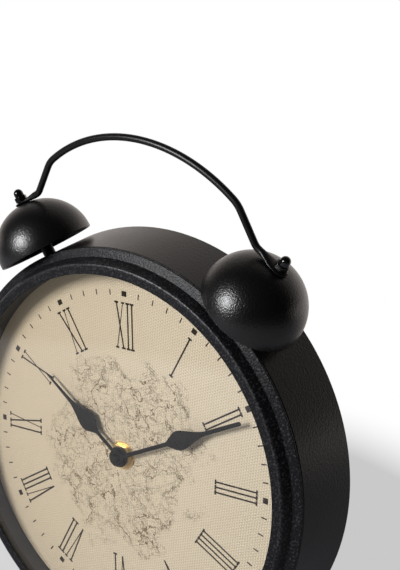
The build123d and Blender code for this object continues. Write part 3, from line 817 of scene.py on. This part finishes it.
class DrumStep(bpy.types.Operator):
    """Turn the flared drum with its rounded edges and inner flange"""

    bl_idname = "table_clock.drum"
    bl_label = "Drum"
    bl_options = {"REGISTER", "UNDO"}

    def execute(self, context):
        case = settings().case
        wall = case.drum_wall / cos(flare_angle())
        rear = case.mouth_height - case.drum_depth
        seat = rear + case.rear_recess
        flange_front = seat + case.drum_wall
        flange_inner = drum_radius(flange_front) - wall - case.flange_width
        edge = 0.45 * case.drum_wall
        bend = 0.8 * case.drum_wall
        outline = rounded([
            (case.mouth_radius, case.mouth_height, edge),
            (drum_radius(rear), rear, edge),
            (drum_radius(rear) - wall, rear, edge),
            (drum_radius(seat) - wall, seat, bend),
            (flange_inner, seat, edge),
            (flange_inner, flange_front, edge),
            (drum_radius(flange_front) - wall, flange_front, bend),
            (case.mouth_radius - wall, case.mouth_height, edge),
        ])
        mounted(turned("drum", outline, CASE), "black_drum", "case", "drum_shell")
        return {"FINISHED"}


class BezelStep(bpy.types.Operator):
    """Turn the stepped bezel with its lip, step, ledge and skirt"""

    bl_idname = "table_clock.bezel"
    bl_label = "Bezel"
    bl_options = {"REGISTER", "UNDO"}

    def execute(self, context):
        case = settings().case
        sheet = case.bezel_sheet
        edge = case.mouth_radius - case.bezel_seam
        shoulder = edge - case.ledge_width
        rim = shoulder - case.step_run
        lip = rim - case.lip_width
        ledge = case.mouth_height + case.ledge_rise
        top = ledge + case.step_rise
        skirt = case.mouth_radius - case.drum_wall / cos(flare_angle()) - case.skirt_clearance
        small = 0.3 * sheet
        lip_round, edge_round = 0.33 * sheet, 0.48 * sheet
        rim_round, groove_round = 1.3 * sheet, 0.5 * sheet
        outline = rounded([
            (lip, top, lip_round),
            (rim, top, rim_round),
            (shoulder, ledge, groove_round),
            (edge, case.mouth_height + sheet, edge_round),
            (edge, case.mouth_height, small),
            (skirt, case.mouth_height, 0),
            (skirt, case.mouth_height - case.skirt_depth, small),
            (skirt - sheet, case.mouth_height - case.skirt_depth, small),
            (skirt - sheet, case.mouth_height, small),
            (shoulder - sheet, ledge - sheet, small),
            (rim - sheet, top - sheet, small),
            (lip, top - sheet, small),
        ])
        mounted(turned("bezel_ring", outline, CASE), "black_bezel", "case", "bezel")
        return {"FINISHED"}


class GlassStep(bpy.types.Operator):
    """Bevel the edge of the flat glass"""

    bl_idname = "table_clock.glass"
    bl_label = "Glass"
    bl_options = {"REGISTER", "UNDO"}

    edge = 0.3 * MM

    def execute(self, context):
        piece = copied("lens", "front_glass")
        bevelled(piece, self.edge)
        mounted(piece, "glass", "case", "lens")
        piece.visible_shadow = piece.visible_diffuse = False
        return {"FINISHED"}


class DialStep(bpy.types.Operator):
    """Print the minute track and the Roman numerals on the linen dial"""

    bl_idname = "table_clock.dial"
    bl_label = "Dial"
    bl_options = {"REGISTER", "UNDO"}

    numerals = ("XII", "I", "II", "III", "IIII", "V", "VI", "VII", "VIII", "IX", "X", "XI")

    def execute(self, context):
        dial = settings().dial
        piece = start_piece("dial_print", bpy.ops.mesh.primitive_plane_add, size=MM)
        bpy.ops.mesh.delete(type="VERT")
        for minute in range(60):
            angle = dial.dial_turn + radians(6 * minute)
            if minute % 5:
                size = (dial.minute_mark_width, dial.minute_mark)
            else:
                size = (dial.hour_mark_width, dial.hour_mark)
                self.numeral(dial, self.numerals[minute // 5], angle)
            self.bar(size, (0, dial.track_radius + size[1] / 2), 0, angle)
        close_piece(piece, CASE)
        add_modifier(piece, "SOLIDIFY", thickness=dial.print_height, offset=1)
        mounted(piece, "hand_grey", "case", paint="ink")
        return {"FINISHED"}

    def bar(self, size, middle, slant, angle):
        """One printed bar: sized and slanted at the origin, moved out, then turned round the dial."""
        bpy.ops.mesh.select_all(action="DESELECT")
        bpy.ops.mesh.primitive_plane_add(size=1)
        bpy.ops.transform.resize(value=(*size, 1), center_override=(0, 0, 0))
        if slant:
            bpy.ops.transform.rotate(value=slant, orient_axis="Z", center_override=(0, 0, 0))
        bpy.ops.transform.translate(value=(*middle, 0))
        bpy.ops.transform.rotate(value=angle, orient_axis="Z", center_override=(0, 0, 0))

    def numeral(self, dial, letters, angle):
        """One numeral standing on the dial's centre, its letters side by side."""
        widths = [0 if letter == "I" else dial.letter_width for letter in letters]
        gaps = [dial.stem_pitch if a == b == "I" else dial.letter_gap for a, b in zip(letters, letters[1:])]
        x = -(sum(widths) + sum(gaps)) / 2
        for letter, width, gap in zip(letters, widths, (*gaps, 0)):
            if letter == "I":
                self.stem(dial, dial.stroke, x, x, angle)
            elif letter == "V":
                self.stem(dial, dial.stroke, x + width / 2, x, angle, foot=False)
                self.stem(dial, dial.hairline, x + width / 2, x + width, angle, foot=False)
            else:
                self.stem(dial, dial.stroke, x + width, x, angle)
                self.stem(dial, dial.hairline, x, x + width, angle)
            x += width + gap

    def stem(self, dial, stroke, foot_x, head_x, angle, foot=True):
        """One stroke of a letter from its foot to its head, with a serif at each end."""
        inner, outer = dial.numeral_inner, dial.numeral_outer
        foot_x += dial.foot_shift
        rise = outer - inner
        lean = head_x - foot_x
        middle = ((foot_x + head_x) / 2, (inner + outer) / 2)
        self.bar((stroke, sqrt(rise ** 2 + lean ** 2)), middle, atan2(lean, rise), angle)
        serif = (stroke + 2 * dial.serif_reach, dial.serif_depth)
        self.bar(serif, (head_x, outer), 0, angle)
        if foot:
            self.bar(serif, (foot_x, inner), 0, angle)


class HandsStep(bpy.types.Operator):
    """Draw half of each hand, mirror and thicken it, and soften the nut that holds them"""

    bl_idname = "table_clock.hands"
    bl_label = "Hands"
    bl_options = {"REGISTER", "UNDO"}

    edge = 0.12 * MM
    swell_steps = 14
    taper_steps = 18

    def execute(self, context):
        hands = settings().hands
        for hand in ("hour", "minute"):
            sizes = {name: getattr(hands, f"{hand}_{name}") for name in (
                "length", "hub", "bore", "bar", "tip", "leaf", "leaf_start", "leaf_widest", "leaf_end")}
            piece = drawn(f"{hand}_hand_painted", [Vector((*point, 0)) for point in self.outline(**sizes)])
            bpy.ops.mesh.edge_face_add()
            close_piece(piece)
            mirrored(piece)
            add_modifier(piece, "SOLIDIFY", thickness=hands.thickness, offset=0)
            bpy.ops.object.mode_set(mode="EDIT")
            height = getattr(hands, f"{hand}_height") + hands.thickness / 2
            aim = Matrix.Rotation(-getattr(hands, f"{hand}_turn"), 4, "Z")
            close_piece(piece, CASE @ Matrix.Translation((0, 0, height)) @ aim)
            bevelled(piece, self.edge)
            mounted(piece, "hand_grey", hand, f"{hand}_hand")
        nut = copied("hand_nut", "hand_nut_painted")
        bevelled(nut, self.edge)
        mounted(nut, "hand_grey", "minute", "hand_nut")
        return {"FINISHED"}

    def outline(self, length, hub, bore, bar, tip, leaf, leaf_start, leaf_widest, leaf_end):
        """Right half of a hand along y: hub, bar, leaf and round tip, then back along the bore."""
        rise, fall = leaf_widest - leaf_start, leaf_end - leaf_widest
        widest = (leaf, leaf_widest, 0)
        swell = interpolate_bezier(
            (bar, leaf_start, 0), (bar + 0.22 * rise, leaf_start + 0.37 * rise, 0),
            (leaf + 0.03 * rise, leaf_widest - 0.28 * rise, 0), widest, self.swell_steps)
        taper = interpolate_bezier(
            widest, (leaf - 0.03 * fall, leaf_widest + 0.28 * fall, 0),
            (bar + 0.02 * fall, leaf_end - 0.36 * fall, 0), (bar, leaf_end, 0), self.taper_steps)
        return [
            *arc((0, 0), hub, -pi / 2, acos(bar / hub), ROUND_STEPS),
            *(point.to_2d() for point in (*swell, *taper[1:])),
            *arc((0, length - tip), tip, 0, pi / 2, CORNER_STEPS),
            *arc((0, 0), bore, pi / 2, -pi / 2, ROUND_STEPS),
        ]


class BellsStep(bpy.types.Operator):
    """Turn a bell with its rolled rim, and copy it to the other side"""

    bl_idname = "table_clock.bells"
    bl_label = "Bells"
    bl_options = {"REGISTER", "UNDO"}

    dome_steps = 40
    bore_share = 1.05

    def execute(self, context):
        bells = settings().bells
        bell = turned("bell_dome", self.outline(bells))
        for side, piece in paired(bell, "bell_dome", bell_places(bells.bell_lift)).items():
            mounted(piece, "black_bell", "case", f"bell_{side}")
        return {"FINISHED"}

    def outline(self, bells):
        """Half section of a bell: crown, dome, rolled rim and the hollow inside."""
        width = bells.bell_radius - bells.crown_radius
        height = bells.bell_height - bells.bell_skirt
        radius = (width ** 2 + height ** 2) / (2 * width)
        centre = (bells.bell_radius - radius, bells.bell_skirt)
        crown = asin(height / radius)
        wall = bells.bell_wall
        bore = self.bore_share * bells.stud_radius
        rim = (bells.bell_radius - wall / 2, wall / 2)
        return [
            Vector((bore, bells.bell_height)),
            *arc(centre, radius, crown, 0, self.dome_steps),
            *arc(rim, wall / 2, 0, -pi, 2 * CORNER_STEPS),
            *arc(centre, radius - wall, 0, asin((height - wall) / (radius - wall)), self.dome_steps),
            Vector((bore, bells.bell_height - wall)),
        ]


class CapNutsStep(bpy.types.Operator):
    """Shape a domed cap nut and copy it to the other bell"""

    bl_idname = "table_clock.cap_nuts"
    bl_label = "Cap nuts"
    bl_options = {"REGISTER", "UNDO"}

    edge = 0.25 * MM

    def execute(self, context):
        bells = settings().bells
        hexagon = start_piece("hexagon", bpy.ops.mesh.primitive_cylinder_add, vertices=6,
                              radius=bells.nut_flats / sqrt(3), depth=bells.nut_height,
                              location=(0, 0, bells.nut_height / 2), rotation=(0, 0, pi / 6))
        close_piece(hexagon)
        bevelled(hexagon, self.edge, segments=3)
        dome = turned("dome", [
            Vector((0, bells.nut_height / 2)),
            Vector((bells.cap_radius, bells.nut_height / 2)),
            *arc((0, bells.cap_height - bells.cap_radius), bells.cap_radius, 0, pi / 2, 3 * CORNER_STEPS),
        ])
        seat = bells.bell_lift + bells.bell_height + bells.tab_thickness
        pair = paired(joined("cap_nut", hexagon, dome), "cap_nut", bell_places(seat))
        mounted(joined("domed_cap_nuts", *pair.values()), "black_nut", "case", "cap_nuts")
        return {"FINISHED"}


class HandleStep(bpy.types.Operator):
    """Bend one half of the wire handle from its flattened tab to the top of the arch, and mirror it"""

    bl_idname = "table_clock.handle"
    bl_label = "Handle"
    bl_options = {"REGISTER", "UNDO"}

    # Rings along the tab's rounded end, as shares of its radius.
    tab_steps = (-0.985, -0.92, -0.8, -0.6, -0.3, 0.0, 0.25)
    # Wire to one step of a bend, and the fewest and most steps of a bend.
    bend_step = 1.5 * MM
    bend_steps = (4, 48)

    def execute(self, context):
        bells = settings().bells
        flare = flare_angle()
        wall = drum_radius(-bells.bell_station)
        root = wall / cos(flare)
        plane_lean = atan(tan(flare) / cos(bells.bell_angle))
        slant = atan(tan(bells.bell_angle) * cos(plane_lean))
        seat_height = root + bells.bell_lift + bells.bell_height + bells.tab_thickness / 2
        seat = Vector((seat_height * sin(slant), seat_height * cos(slant)))

        piece = start_piece("wire_handle", bpy.ops.mesh.primitive_plane_add, size=MM)
        bpy.ops.mesh.delete(type="VERT")
        bpy.ops.mesh.primitive_circle_add(vertices=ROUND_STEPS, radius=1, rotation=(0, pi / 2, 0))
        self.tab(bells)
        self.leg(bells, Matrix.Rotation(slant - pi, 2), seat, root + bells.handle_rise)
        lay = Matrix.Translation((*seat, 0)) @ Matrix.Rotation(pi - slant, 4, "Z")
        close_piece(piece, lay)
        mirrored(piece)
        bpy.ops.object.mode_set(mode="EDIT")
        apex = -bells.bell_station - wall * tan(flare)
        close_piece(piece, CASE @ Matrix.Translation((0, 0, apex)) @ Matrix.Rotation(plane_lean, 4, "X"))
        mounted(piece, "black_wire", "case", "handle")
        return {"FINISHED"}

    def tab(self, bells):
        """Grows the flattened end along x, ring by ring, until the wire is round."""
        half = bells.tab_thickness / 2
        rings = [(step * bells.tab_radius, sqrt(1 - step ** 2) * bells.tab_radius, half)
                 for step in self.tab_steps]
        rings += [(bells.tab_radius, bells.tab_waist, half),
                  ((bells.tab_radius + bells.tab_neck) / 2, (bells.tab_waist + bells.wire_radius) / 2,
                   (half + bells.wire_radius) / 2),
                  (bells.tab_neck, bells.wire_radius, bells.wire_radius)]
        at, wide, thick = rings[0]
        bpy.ops.transform.resize(value=(1, thick, wide), center_override=(0, 0, 0))
        bpy.ops.transform.translate(value=(at, 0, 0))
        bpy.ops.mesh.edge_face_add()
        for new_at, new_wide, new_thick in rings[1:]:
            bpy.ops.mesh.extrude_region_move(TRANSFORM_OT_translate={"value": (new_at - at, 0, 0)})
            bpy.ops.transform.resize(value=(1, new_thick / thick, new_wide / wide),
                                     center_override=(new_at, 0, 0))
            at, wide, thick = new_at, new_wide, new_thick

    def leg(self, bells, to_tab, seat, top):
        """Extrudes the straight stretches and spins the bends in the tab's frame, up to the arch's top."""
        ahead = Vector((1, 0))
        way = to_tab @ Vector((-sin(bells.leg_lean), cos(bells.leg_lean)))
        elbow = Vector((bells.tab_run, 0))
        knee = elbow + way * bells.leg_run
        upright = to_tab @ Vector((0, 1))
        crest = to_tab @ (Vector((0, top)) - seat)
        rise = (crest - knee).dot(upright)
        arch_radius = (crest - knee).length_squared / (2 * rise)
        arch_centre = crest - upright * arch_radius

        turn_side = 1 if ahead.x * way.y > 0 else -1
        cut = bells.leg_bend * tan(ahead.angle(way) / 2)
        self.extrude((elbow - ahead * cut) - Vector((bells.tab_neck, 0)))
        self.bend(elbow - ahead * cut + Vector((0, turn_side * bells.leg_bend)), ahead, way, bells.leg_bend)

        inner = self.side_towards(way, arch_centre - knee)
        base = knee + inner * bells.arch_bend - arch_centre
        along = base.dot(way)
        reach = arch_radius - bells.arch_bend
        slide = -along + sqrt(along ** 2 - base.length_squared + reach ** 2)
        bend_centre = arch_centre + base + way * slide
        self.extrude(bend_centre - inner * bells.arch_bend - (elbow + way * cut))
        out = (bend_centre - arch_centre).normalized()
        level = self.side_towards(out, way)
        self.bend(bend_centre, way, level, bells.arch_bend)
        self.bend(arch_centre, level, self.side_towards(upright, level), arch_radius)

    def side_towards(self, way, target):
        """The direction square to way on the side of the target."""
        side = Vector((-way.y, way.x))
        return side if side.dot(target) > 0 else -side

    def extrude(self, step):
        bpy.ops.mesh.extrude_region_move(TRANSFORM_OT_translate={"value": (*step, 0)})

    def bend(self, centre, before, after, radius):
        """Bends the wire round a centre, from one heading to the next."""
        sweep = before.angle_signed(after)
        fewest, most = self.bend_steps
        steps = min(most, max(fewest, ceil(abs(sweep) * radius / self.bend_step)))
        bpy.ops.mesh.spin(steps=steps, angle=sweep, center=(*centre, 0), axis=(0, 0, 1))


class FeetStep(bpy.types.Operator):
    """Turn a peg foot with its ball end, copy it, and grind both flat on the table"""

    bl_idname = "table_clock.feet"
    bl_label = "Feet"
    bl_options = {"REGISTER", "UNDO"}

    edge = 0.4 * MM
    shoulder = 0.8 * MM

    def execute(self, context):
        bells = settings().bells
        places = {side: wall_place(pi - way * bells.foot_angle, bells.foot_station)
                  for side, way in SIDES.items()}
        base, out = places["left"].translation, places["left"].col[2]
        reach = (bells.foot_ball - bells.foot_flat - base.z) / out.z
        foot = turned("peg_foot", self.outline(bells, reach))
        for side, piece in paired(foot, "peg_foot", places).items():
            select_only(piece)
            bpy.ops.object.mode_set(mode="EDIT")
            bpy.ops.mesh.select_all(action="SELECT")
            bpy.ops.mesh.bisect(plane_co=(0, 0, 0), plane_no=(0, 0, 1), use_fill=True, clear_inner=True)
            bpy.ops.object.mode_set(mode="OBJECT")
            mounted(piece, "black_foot", "case", f"foot_{side}")
        return {"FINISHED"}

    def outline(self, bells, reach):
        """Half section of a foot: collar, neck, and a ball whose middle is at reach."""
        collar, neck, ball = bells.foot_collar, bells.foot_neck, bells.foot_ball
        meet = asin(neck / ball)
        neck_end = reach - ball * cos(meet)
        peg = rounded([
            (0, 0, 0),
            (collar, 0, self.edge),
            (collar, bells.foot_collar_height, self.shoulder),
            (neck, neck_end - self.edge, self.shoulder),
            (neck, neck_end, 0),
        ])
        return [*peg, *arc((0, reach), ball, meet - pi / 2, pi / 2, ROUND_STEPS)]


class MovementStep(bpy.types.Operator):
    """Soften the edges of the movement's housing, washer, nut, contacts and knob, and of the back cover"""

    bl_idname = "table_clock.movement"
    bl_label = "Movement"
    bl_options = {"REGISTER", "UNDO"}

    # Node, body, slot and width of the softened edge in millimetres.
    soft_nodes = (
        ("movement_front", "case", "black_plastic", 0.4), ("movement_back", "case", "black_plastic", 0.5),
        ("movement_washer", "case", "brass", 0.1), ("movement_nut", "case", "brass", 0.25),
        ("battery_contacts", "case", "steel", 0.08), ("setting_knob", "setting", "black_plastic", 0.15),
        ("back_cover", "case", "black_plastic", 0.3), ("back_cover_screws", "case", "steel", 0.12),
    )

    def execute(self, context):
        for node, body, slot, width in self.soft_nodes:
            piece = copied(node, f"{node}_soft")
            bevelled(piece, width * MM)
            mounted(piece, slot, body, node)
        return {"FINISHED"}


class InnerStep(bpy.types.Operator):
    """Finish the linen dial and the inner pieces, which keep their solids"""

    bl_idname = "table_clock.inner"
    bl_label = "Inner pieces"
    bl_options = {"REGISTER", "UNDO"}

    def execute(self, context):
        slots = {row["node"]: row["material_slot"] for row in frame["record"]["subparts"]}
        for name, node in frame["nodes"].items():
            coated(node, slots[name])
        return {"FINISHED"}


class StageStep(bpy.types.Operator):
    """Set the camera, the soft lamp, the pale floor and the white surroundings"""

    bl_idname = "table_clock.stage"
    bl_label = "Stage"
    bl_options = {"REGISTER", "UNDO"}

    def execute(self, context):
        stage = settings().stage
        self.floor(stage, settings().colours)
        self.camera(stage)
        self.lamp(stage, settings().colours)
        self.surroundings(stage, settings().colours)
        bpy.context.scene.view_settings.view_transform = "Standard"
        return {"FINISHED"}

    def floor(self, stage, colours):
        """A grey floor that is seen pale and fades to white, and that gloss shows as a sheet and a wall."""
        floor = start_piece("floor", bpy.ops.mesh.primitive_plane_add, size=stage.floor_size)
        bpy.ops.mesh.subdivide(number_cuts=3)
        close_piece(floor)
        finish = Finish("pale_floor")
        spread = finish.place().reach()
        far = spread.smooth(stage.shadow_reach, 2 * stage.shadow_reach)
        behind = finish.place().dot(stage.wall_way).smooth(0, 4 * stage.shadow_reach)
        beyond = spread.smooth(stage.sheet_reach - stage.sheet_edge, stage.sheet_reach + stage.sheet_edge)
        seen, gloss = self.paths(finish)
        white_share = (seen * stage.floor_lift).largest(seen.largest(gloss * behind) * far)
        reflected = finish.mix(beyond, colours.floor_sheet, colours.floor_beyond)
        finish.finished(base_color=finish.mix(gloss, colours.floor, reflected), roughness=0.9,
                        specular_ior_level=0.0)
        white = finish.node("ShaderNodeEmission", None, {
            "Color": finish.mix(gloss, (1, 1, 1), colours.wall), "Strength": 1.0})
        finish.covered(white_share, white)
        floor.data.materials.append(finish.owner)

    def paths(self, finish):
        """Rays that see the stage from the camera or through glass, and rays that come off gloss."""
        light = {name: finish.node("ShaderNodeLightPath", output=name) for name in (
            "Is Camera Ray", "Is Transmission Ray", "Diffuse Depth", "Glossy Depth")}
        straight = 1 - light["Diffuse Depth"].math("MINIMUM", 1)
        reflected = light["Glossy Depth"].math("MINIMUM", 1)
        through = light["Is Transmission Ray"] * straight * (1 - reflected)
        return light["Is Camera Ray"].largest(through), straight * reflected

    def camera(self, stage):
        data = bpy.data.cameras.new("camera")
        data.sensor_width = 36
        data.lens = stage.lens
        data.clip_start = 10 * MM
        camera = bpy.data.objects.new("camera", data)
        bpy.context.scene.collection.objects.link(camera)
        camera.matrix_world = (
            Matrix.Translation(stage.camera_place) @ Matrix.Rotation(stage.camera_azimuth, 4, "Z")
            @ Matrix.Rotation(stage.camera_pitch, 4, "X") @ Matrix.Rotation(stage.camera_roll, 4, "Z"))
        bpy.context.scene.camera = camera

    def lamp(self, stage, colours):
        data = bpy.data.lights.new("front_softbox", "AREA")
        data.shape = "DISK"
        data.size = stage.lamp_size
        data.energy = stage.lamp_power
        data.color = colours.lamp
        lamp = bpy.data.objects.new("front_softbox", data)
        bpy.context.scene.collection.objects.link(lamp)
        facing = (stage.lamp_place - stage.lamp_aim).to_track_quat("Z", "Y").to_matrix().to_4x4()
        lamp.matrix_world = Matrix.Translation(stage.lamp_place) @ facing

    def surroundings(self, stage, colours):
        """White where it is seen, the wall behind the clock in gloss, and plain soft light elsewhere."""
        finish = Finish("white_surroundings", "worlds")
        away = finish.node("ShaderNodeTexCoord", output="Generated")
        high = away.axis("Z").smooth(0.1, 0.5)
        wall = away.dot(stage.wall_way).smooth(0.1, 1.0) * (1 - high * stage.wall_fade)
        seen, gloss = self.paths(finish)
        lit = (1 - seen.largest(gloss)) * stage.ambient
        bpy.context.scene.world = finish.finished(
            "Background", color=finish.mix(gloss, (1, 1, 1), colours.wall),
            strength=seen.largest(gloss * wall) + lit)


class ClockPanel(bpy.types.Panel):
    """Steps and sizes of the table clock"""

    bl_idname = "TABLE_CLOCK_PT_steps"
    bl_label = "Table Clock"
    bl_space_type = "VIEW_3D"
    bl_region_type = "UI"
    bl_category = "Clock"

    def draw(self, context):
        for step in STEPS:
            self.layout.operator(step.bl_idname)
        for group in ClockSettings.__annotations__:
            part = getattr(context.scene.table_clock, group)
            box = self.layout.box()
            box.label(text=group.title())
            for name in part.__annotations__:
                box.prop(part, name)


GROUPS = (ClockCase, ClockBells, ClockDial, ClockHands, ClockColours, ClockStage, ClockSettings)
STEPS = (InnerStep, DrumStep, BezelStep, GlassStep, DialStep, HandsStep, BellsStep, CapNutsStep, HandleStep,
         FeetStep, MovementStep, StageStep)


def register():
    for part in (*GROUPS, *STEPS, ClockPanel):
        bpy.utils.register_class(part)
    bpy.types.Scene.table_clock = PointerProperty(type=ClockSettings)


def unregister():
    del bpy.types.Scene.table_clock
    for part in reversed((*GROUPS, *STEPS, ClockPanel)):
        bpy.utils.unregister_class(part)


def main():
    register()
    for step in STEPS:
        group, name = step.bl_idname.split(".")
        getattr(getattr(bpy.ops, group), name)()


if __name__ == "__main__":
    main()
